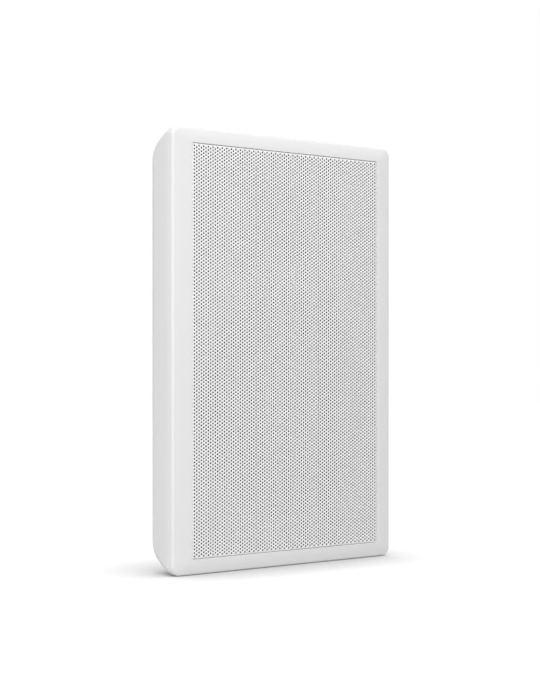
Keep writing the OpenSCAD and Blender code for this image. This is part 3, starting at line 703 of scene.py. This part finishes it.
class SPEAKER_OT_front(SpeakerOperator, bpy.types.Operator):
    """Builds the front moulding: the bevelled frame round the opening, and the baffle inside it"""

    bl_idname = "speaker.front"
    bl_label = "Front moulding"

    def frame_rows(self):
        """Rows round the frame's section: groove, lip, bevel, front edge, side, lap and underside."""
        arc, soft, lap, shoulder, play = front_arc(), 0.35, LAP_T + 0.1, 0.5, 0.5
        roof = EDGE_Z - 2.1
        rim = mouth(0, RIM_Z, 1.0)
        lip = [mouth(0, RIM_Z - soft, 1.0), mouth(soft * 0.3, RIM_Z - soft * 0.3, 1.0)]
        bevel = [between_rows(rim, arc[-1], s) for s in (0.03, 0.97)]
        return [
            mouth(-GROOVE_W, BAFFLE_Z, 0.5), mouth(-GROOVE_W, FOLD_Z, 0.5), mouth(0, FOLD_Z, 1.0), *lip,
            *bevel, *arc[::-1], side_row(SEAM_Z), side_row(SEAM_Z, lap),
            side_row(SEAM_Z - shoulder, lap), side_row(SEAM_Z - shoulder, WALL_T),
            side_row(roof - 0.3, WALL_T), side_row(roof, WALL_T + 0.3),
            mouth(WALL_T + play, roof, 1.5), mouth(WALL_T + play, SEAM_Z, 1.5),
            mouth(-GROOVE_W, SEAM_Z, 0.5),
        ]

    def baffle(self):
        """The baffle as four plates on one another, whose holes step in to seat port and drivers."""
        w, h = OPENING_W - 2 * GROOVE_W, OPENING_H - 2 * GROOVE_W
        edge = box_loop(-w / 2, w / 2, -h / 2, h / 2)
        plate = box_loop(-TWEETER_W / 2, TWEETER_W / 2, TWEETER[1] - TWEETER_H / 2,
                         TWEETER[1] + TWEETER_H / 2, grow=0.2)
        tweeter_neck = circle(*TWEETER, 19.3)
        seat, neck = circle(*WOOFER, WOOFER_R + 0.4, 160), circle(*WOOFER, WOOFER_R - 7.4, 160)
        port_seat, port_neck = circle(*PORT, 11.0), circle(*PORT, 10.0)
        port_z, woofer_z, tweeter_z = BAFFLE_Z - 1.2, FLANGE_Z - FLANGE_T, BAFFLE_Z - TWEETER_T
        form = Form()
        for low, high, *holes in (
            (port_z, BAFFLE_Z, seat, plate, port_seat),
            (woofer_z, port_z, seat, plate, port_neck),
            (tweeter_z, woofer_z, neck, plate, port_neck),
            (SEAM_Z, tweeter_z, neck, tweeter_neck, port_neck),
        ):
            form.prism([edge, *holes], low, high)
        return form

    def execute(self, context):
        white = finish("white_plastic")
        Form().grid(loft(self.frame_rows()), wrap_rows=True, wrap_columns=True).piece(
            "front_frame", white, CABINET, ["front_baffle"], "white_plastic"
        )
        self.baffle().piece("front_panel", white, CABINET, ["front_baffle"], "white_plastic")
        return {"FINISHED"}


class SPEAKER_OT_rear(SpeakerOperator, bpy.types.Operator):
    """Builds the rear moulding: a tapered tub with keyholes, screw columns and a terminal recess"""

    bl_idname = "speaker.rear"
    bl_label = "Rear cabinet"

    def shell(self):
        """The tub: an outer and an inner skin, joined along the rim, each closed by a flat back."""
        arc, inner = back_arc(0), back_arc(WALL_T)
        step, rim_z = np.array([0.6, 0.6, 0, 0.3]), SEAM_Z - 1.5
        flat, floor_row = arc[-1] - step, inner[-1] - step
        foot = between_rows(side_row(SIDE_Z), arc[0], 0.6)
        rows = [*bend_rows(side_row(SEAM_Z), foot), *arc, flat]
        inside = [side_row(rim_z, WALL_T), *inner, floor_row]
        rim = [side_row(SEAM_Z), side_row(SEAM_Z, LAP_T), side_row(rim_z, LAP_T), inside[0]]
        form = Form().grid(loft(rows), wrap_columns=True).grid(loft(inside), wrap_columns=True)
        form.grid(loft(rim), wrap_columns=True)
        for w, h, z, r in (flat, floor_row):
            loop = outline(2 * w, 2 * h, r)
            form.add(np.column_stack([loop, np.full(len(loop), z)]), [list(range(len(loop)))])
        return form.mesh("rear_shell")

    def execute(self, context):
        columns = [(sx * COLUMN_X, COLUMN_Y * (2 * i / 3 - 1)) for sx in (-1, 1) for i in range(4)]
        pads = [(sx * PAD_X, sy * PAD_Y) for sx in (-1, 1) for sy in (-1, 1)]
        recess = (-RECESS_X, RECESS_X, RECESS_LOW, RECESS_TOP)
        duct, block = CHANNEL_X + WALL_T, POCKET_R + WALL_T
        outside_z, wall_z, neck_z, pocket_low = -1, 1, 5, 4.5
        # Stretches of the channel's block in y, with a higher foot where the back is rounded
        duct_runs = ((-144, -130, INNER_Z), (-149, -140, 5.5))
        added = [
            Form().prism([box_loop(*recess, grow=WALL_T)], INNER_Z, RECESS_Z + WALL_T),
            *[Form().prism([box_loop(-duct, duct, y0, y1)], foot, CHANNEL_Z + WALL_T)
              for y0, y1, foot in duct_runs],
            *[Form().prism([box_loop(x - block, x + block, y - block, y + SLIDE + block)],
                           INNER_Z, POCKET_Z + WALL_T) for x, y in KEYHOLES],
            *[Form().prism([circle(x, y, COLUMN_R, 40)], INNER_Z, COLUMN_Z) for x, y in columns],
        ]
        cut = [
            Form().prism([box_loop(*recess)], outside_z, RECESS_Z),
            Form().prism([box_loop(-CHANNEL_X, CHANNEL_X, -170, RECESS_LOW + 1)], outside_z, CHANNEL_Z),
            *[Form().prism([circle(x, y, HEAD_R, 64)], wall_z, neck_z) for x, y in KEYHOLES],
            *[Form().prism([slot_loop(x, y, NECK_R, SLIDE)], wall_z, neck_z) for x, y in KEYHOLES],
            *[Form().prism([slot_loop(x, y, POCKET_R, SLIDE)], pocket_low, POCKET_Z) for x, y in KEYHOLES],
            *[Form().prism([circle(x, y, PAD_R, 64)], wall_z, PAD_Z) for x, y in pads],
            *[Form().prism([circle(x, y, SCREW_HEAD_R, 48)], wall_z, SCREW_HEAD_Z) for x, y in columns],
            *[Form().prism([circle(x, y, SCREW_R, 32)], wall_z, COLUMN_Z + 1) for x, y in columns],
        ]
        place("rear_shell", carve(self.shell(), added, cut), finish("white_plastic"), CABINET,
              ["rear_cabinet"])
        return {"FINISHED"}


class SPEAKER_OT_grille(SpeakerOperator, bpy.types.Operator):
    """Builds the perforated sheet in three pieces, and its folded edge"""

    bl_idname = "speaker.grille"
    bl_label = "Grille"

    columns, rows = 85, 119
    # First and last column of each piece, so that none has 200,000 triangles
    thirds = ((0, 27), (28, 56), (57, 84))
    bend = 0.35

    def field(self, first, last, pitch, hole, half_w, half_h):
        """Cells of the staggered pattern: each is a rectangle with an eight-sided hole, made for all
        places at once. Odd columns are moved up by half a pitch and end half a pitch earlier."""
        step = pitch * math.sqrt(3) / 2
        i = np.arange(first, last + 1) - self.columns // 2
        columns, rows = np.meshgrid(i, np.arange(self.rows) - self.rows // 2, indexing="ij")
        shift = (columns % 2) * 0.5
        keep = (rows + shift) <= self.rows // 2
        columns, rows, shift = columns[keep], rows[keep], shift[keep]
        x, y = columns * step, (rows + shift) * pitch
        ends = self.columns // 2
        left = np.where(columns == -ends, -half_w, x - step / 2)
        right = np.where(columns == ends, half_w, x + step / 2)
        last_row = self.rows // 2
        low = np.where(rows == -last_row, -half_h, y - pitch / 2)
        high = np.where(rows + np.ceil(shift) == last_row, half_h, y + pitch / 2)
        a = np.arange(8) * math.pi / 4
        hx = x[:, None] + hole / 2 * np.cos(a)
        hy = y[:, None] + hole / 2 * np.sin(a)
        bx = np.stack([left, right, right, right, left, left], -1)
        by = np.stack([low, low, y, high, high, y], -1)
        points = np.stack([np.hstack([hx, bx]), np.hstack([hy, by])], -1)
        bl, br, mr, tr, tl, ml = range(8, 14)
        quads = np.array([[0, mr, tr, 1], [3, tl, ml, 4], [4, ml, bl, 5], [7, br, mr, 0]])
        threes = np.array([[1, tr, 2], [tr, tl, 2], [2, tl, 3], [5, bl, 6], [bl, br, 6], [6, br, 7]])
        at = (np.arange(len(x)) * 14)[:, None, None]
        flat = np.concatenate([points, np.full((*points.shape[:2], 1), SHEET_FRONT_Z)], -1)
        form = Form().add(flat, (quads + at).reshape(-1, 4))
        form.faces += (threes + at).reshape(-1, 3).tolist()
        return form

    def fold(self, half_w, half_h):
        """The edge's section, carried round the sheet: a quarter turn down, then straight into the
        groove, and back up on its inner side."""
        bend, top, low, inner = self.bend, SHEET_FRONT_Z, SHEET_FRONT_Z - SHEET_T, self.bend - SHEET_T
        profile = [(0, low, 0.3), (0, top, 0.3)]
        for t in np.linspace(math.pi / 2, 0, 7)[1:]:
            profile.append((bend * math.cos(t), top - bend + bend * math.sin(t), 0.6))
        profile += [(bend, FOLD_Z, 0.6), (inner, FOLD_Z, 0.3), (inner, low, 0.3)]
        return loft([[half_w + g, half_h + g, z, r] for g, z, r in profile])

    def execute(self, context):
        sizes = context.scene.speaker_sizes
        half_w, half_h = (side / 2 - SHEET_GAP - self.bend for side in (OPENING_W, OPENING_H))
        for n, (first, last) in enumerate(self.thirds, 1):
            form = self.field(first, last, sizes.hole_pitch / MM, sizes.hole_width / MM, half_w, half_h)
            mesh = form.mesh(f"grille_sheet_{n}", 30)
            if mesh.polygons[0].normal.y > 0:
                mesh.flip_normals()
            sheet = place(mesh.name, mesh, finish("punched_steel"), CABINET, ["grille"])
            wall = sheet.modifiers.new("thickness", "SOLIDIFY")
            wall.thickness, wall.offset = SHEET_T * MM, -1
        Form().grid(self.fold(half_w, half_h), wrap_rows=True, wrap_columns=True).piece(
            "grille_edge", finish("white_steel"), CABINET, ["grille"], "white_steel"
        )
        return {"FINISHED"}


class SPEAKER_OT_woofer(SpeakerOperator, bpy.types.Operator):
    """Builds the woofer's cone and dust cap, and its leads, surround and spider"""

    bl_idname = "speaker.woofer"
    bl_label = "Woofer"

    sectors, steps = 12, 12

    def bending(self, name, profile, finish_name, node, outer, inner):
        """A ring cut into sectors, each a closed piece of its own, between the cabinet and the cone."""
        turn = 2 * math.pi / self.sectors
        for k in range(self.sectors):
            points = turned(profile, *WOOFER, FLANGE_Z, self.steps, k * turn, (k + 1) * turn)
            form = Form().grid(points, wrap_rows=True)
            for column in (0, -1):
                form.add(points[:, column], [list(range(len(points)))])
            ring = form.piece(f"{name}_{k + 1}", finish(finish_name), None, [node], finish_name)
            a = (k + 0.5) * turn
            ends = [upright([WOOFER[0] + r * math.cos(a), WOOFER[1] + r * math.sin(a), FLANGE_Z])
                    for r in (outer, inner)]
            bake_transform(ring)

    def leads(self):
        """Two round braided leads from the terminal strip to the cone."""
        a = math.radians(150)
        turn = np.array([[math.cos(a), -math.sin(a)], [math.sin(a), math.cos(a)]])
        for n, side in enumerate((-1, 1), 1):
            path = spline([[side * x, y, z] for x, y, z in (
                (4, -71.8, -10.5), (4, -68, -10.6), (5, -60, -12.4), (6, -48, -13.5), (6, -38, -13),
                (6, -33, -11.6), (6, -33, -9.9))])
            path[:, :2] = path[:, :2] @ turn.T + WOOFER
            path[:, 2] += FLANGE_Z
            fixed, moving = path[9], path[-12]
            rings = tube(path, 0.5)
            form = Form().grid(rings, wrap_columns=True)
            for ring in (rings[0], rings[-1]):
                form.add(ring, [list(range(len(ring)))])
            lead = form.piece(f"tinsel_lead_{n}", finish("copper"), None, ["woofer_tinsel_leads"], "copper")
            tuple(upright(fixed))
            tuple(upright(moving))
            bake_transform(lead)

    def cone_height(self, r):
        """Height of the cone's front at a radius: neck plus rise times the share of the way out from
        the coil, to the power of the bow."""
        return NECK_Z + CONE_RISE * ((r - COIL_R) / (CONE_R - COIL_R)) ** CONE_BOW

    def surround(self):
        """A half roll that hangs between two flat lands: middle plus radius times (cos, sin), once for
        each face."""
        middle, r, t, rim = 64.0, 4.9, SOFT_T, 73.4
        a = np.linspace(math.pi, 2 * math.pi, 17)
        lower, upper = (
            np.stack([middle + b * np.cos(a), LAND_Z + t / 2 + b * np.sin(a)], -1)
            for b in (r + t / 2, r - t / 2)
        )
        lower[[0, -1], 1] = LAND_Z
        upper[[0, -1], 1] = LAND_Z + t
        profile = np.concatenate([
            [[CONE_R, LAND_Z + t], [CONE_R, LAND_Z]], lower, [[rim, LAND_Z], [rim, LAND_Z + t]], upper[::-1],
        ])
        self.bending("surround", profile, "black_rubber", "woofer_surround", 69.0, 59.0)

    def spider(self):
        """Four ripples, a sine of the radius, and a flat rim, with the same thickness throughout."""
        end, rim, ripple = 36.5, 45.5, 1.1
        r = np.linspace(COIL_R, end, 49)
        z = SPIDER_Z + ripple * np.sin(np.linspace(0, 8 * math.pi, 49))
        edge = [[rim, SPIDER_Z + SOFT_T], [rim, SPIDER_Z]]
        profile = np.concatenate([np.stack([r, z + SOFT_T], -1), edge, np.stack([r, z], -1)[::-1]])
        self.bending("spider", profile, "spider_cloth", "woofer_spider", end + 1.0, 14.0)

    def cone(self):
        """The cone with the flat lip that carries the surround."""
        r = np.linspace(COIL_R, CONE_R, 25)
        front = np.stack([r, self.cone_height(r)], -1)
        back = front - [0, CONE_T]
        lip = 58.6
        edge = [[CONE_R, LAND_Z], [lip, LAND_Z], [lip, LAND_Z - 1.2], back[-1] + [1, 0]]
        profile = np.concatenate([front, edge, back[::-1]])
        Form().grid(turned(profile, *WOOFER, FLANGE_Z, 160), wrap_rows=True, wrap_columns=True).piece(
            "cone", finish("cone_paper"), CONE, ["woofer_cone"], "cone_paper"
        )

    def dust_cap(self):
        """A cap cut from a ball: radius times (sin, cos) about the ball's middle, once for each face."""
        base, rise, skin = 17.0, 4.5, 0.7
        ball = (base * base + rise * rise) / (2 * rise)
        middle = self.cone_height(base) + rise - ball
        out = np.linspace(0, math.asin(base / ball), 17)
        inside = np.linspace(math.acos((ball - rise) / (ball - skin)), 0, 17)
        faces = [
            np.stack([r * np.sin(a), middle + r * np.cos(a)], -1)
            for r, a in ((ball, out), (ball - skin, inside))
        ]
        Form().grid(turned(np.concatenate(faces), *WOOFER, FLANGE_Z, 96), wrap_columns=True).piece(
            "dust_cap", finish("cap_plastic"), CONE, ["woofer_dust_cap"], "cap_plastic"
        )

    def execute(self, context):
        for part in (self.leads, self.surround, self.spider, self.cone, self.dust_cap):
            part()
        return {"FINISHED"}


class SPEAKER_OT_stage(SpeakerOperator, bpy.types.Operator):
    """Sets the camera, the floor and the soft lamps"""

    bl_idname = "speaker.stage"
    bl_label = "Stage"

    def lamp(self, name, spot, size, power):
        """A soft lamp that faces the speaker's middle."""
        data = bpy.data.lights.new(name, "AREA")
        data.shape, data.size, data.size_y, data.energy = "RECTANGLE", *size, power
        lamp = bpy.data.objects.new(name, data)
        lamp.location = spot
        lamp.rotation_euler = (-Vector(spot)).to_track_quat("-Z", "Y").to_euler()
        bpy.context.scene.collection.objects.link(lamp)

    def floor(self, glow):
        """A wide flat grid under the speaker. It throws half the light back at it, keeps its real shadow,
        and to the camera glows up to plain white far off. Near the speaker the glow is painted darker, by
        distance from the middle and by ambient occlusion: a painted contact shadow. The distances below,
        where the glow starts to grow, where it is full and how far the painted shade reaches, are in metres."""
        reach, gap = 4000, 0.2
        near, away, shade = 0.08, 0.3, 0.08
        side = np.linspace(-reach, reach, 9)
        x, z = np.meshgrid(side, side)
        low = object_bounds()[0].z / MM - gap
        mesh = Form().grid(np.stack([x, np.full_like(x, low), z], -1)).mesh("floor")
        if mesh.polygons[0].normal.z < 0:
            mesh.flip_normals()
        floor = bpy.data.objects.new("floor", mesh)
        bpy.context.scene.collection.objects.link(floor)
        f = Finish("floor_white", (0.5, 0.5, 0.5), 0.9, Emission_Strength=1.0)
        # painted shadow: the glow fades out towards the speaker's middle
        far = f.node("VectorMath", {"operation": "LENGTH"}, {0: f.at()}, "Value").smooth(near, away)
        painted_shadow = f.node("AmbientOcclusion", {"samples": 8}, {"Distance": shade}, "AO")
        camera, glossy, clear = (
            f.node("LightPath", {}, {}, f"Is {kind} Ray") for kind in ("Camera", "Glossy", "Transmission")
        )
        seen = (camera + glossy + clear).math("MINIMUM", 1.0)
        f.set("Base Color", camera * -0.4 + 0.5)
        # painted contact shadow: the glow is darker near the speaker, by distance and by ambient occlusion
        f.set("Emission Color", (far * (1.0 - glow) + painted_shadow * glow) * seen)
        mesh.materials.append(f.material)
        floor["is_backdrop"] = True

    def room(self, strength):
        """An even white room: 1 for the camera and through clear pieces, and its strength for all other
        light, reflections among it."""
        world = bpy.data.worlds.new("room")
        world.use_nodes = True
        bpy.context.scene.world = world
        tree = world.node_tree
        light = next(n for n in tree.nodes if n.type == "BACKGROUND")
        path = tree.nodes.new("ShaderNodeLightPath")
        add = tree.nodes.new("ShaderNodeMath")
        add.operation = "MAXIMUM"
        tree.links.new(path.outputs["Is Camera Ray"], add.inputs[0])
        tree.links.new(path.outputs["Is Transmission Ray"], add.inputs[1])
        mix = tree.nodes.new("ShaderNodeMapRange")
        mix.inputs["To Min"].default_value = strength
        mix.inputs["To Max"].default_value = 1.0
        tree.links.new(add.outputs[0], mix.inputs["Value"])
        light.inputs["Color"].default_value = (1, 1, 1, 1)
        tree.links.new(mix.outputs[0], light.inputs["Strength"])

    def execute(self, context):
        scene, light = context.scene, context.scene.speaker_light
        scene.view_settings.view_transform = "Standard"
        data = bpy.data.cameras.new("camera")
        data.lens, data.sensor_width, data.shift_y = CAMERA_LENS, 36.0, CAMERA_SHIFT
        data.clip_start, data.clip_end = 0.01, 50
        camera = bpy.data.objects.new("camera", data)
        camera.location = CAMERA_AT
        camera.rotation_euler = (math.radians(90), 0, math.radians(CAMERA_TURN))
        scene.collection.objects.link(camera)
        scene.camera = camera
        self.floor(light.floor)
        self.room(light.room)
        for name, (spot, size) in LAMPS.items():
            self.lamp(name, spot, size, getattr(light, name))
        return {"FINISHED"}


class SPEAKER_PT_panel(bpy.types.Panel):
    """Lists the speaker's operators and settings"""

    bl_idname = "SPEAKER_PT_panel"
    bl_label = "Flat wall speaker"
    bl_space_type = "VIEW_3D"
    bl_region_type = "UI"
    bl_category = "Speaker"

    def draw(self, context):
        for name in GROUPS:
            group = getattr(context.scene, name)
            for key in group.__annotations__:
                self.layout.prop(group, key)
        for operator in STEPS:
            self.layout.operator(operator.bl_idname)


GROUPS = {
    "speaker_sizes": SpeakerSizes,
    "speaker_colours": SpeakerColours,
    "speaker_light": SpeakerLight,
}
STEPS = (
    SPEAKER_OT_finishes,
    SPEAKER_OT_front,
    SPEAKER_OT_rear,
    SPEAKER_OT_grille,
    SPEAKER_OT_woofer,
    SPEAKER_OT_stage,
)
CLASSES = (*GROUPS.values(), *STEPS, SPEAKER_PT_panel)


def register():
    for cls in CLASSES:
        bpy.utils.register_class(cls)
    for name, group in GROUPS.items():
        setattr(bpy.types.Scene, name, bpy.props.PointerProperty(type=group))


def unregister():
    for name in GROUPS:
        delattr(bpy.types.Scene, name)
    for cls in reversed(CLASSES):
        bpy.utils.unregister_class(cls)


def main():
    """Registers the add-on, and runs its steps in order."""
    register()
    for step in STEPS:
        group, name = step.bl_idname.split(".")
        getattr(getattr(bpy.ops, group), name)()


if __name__ == "__main__":
    main()
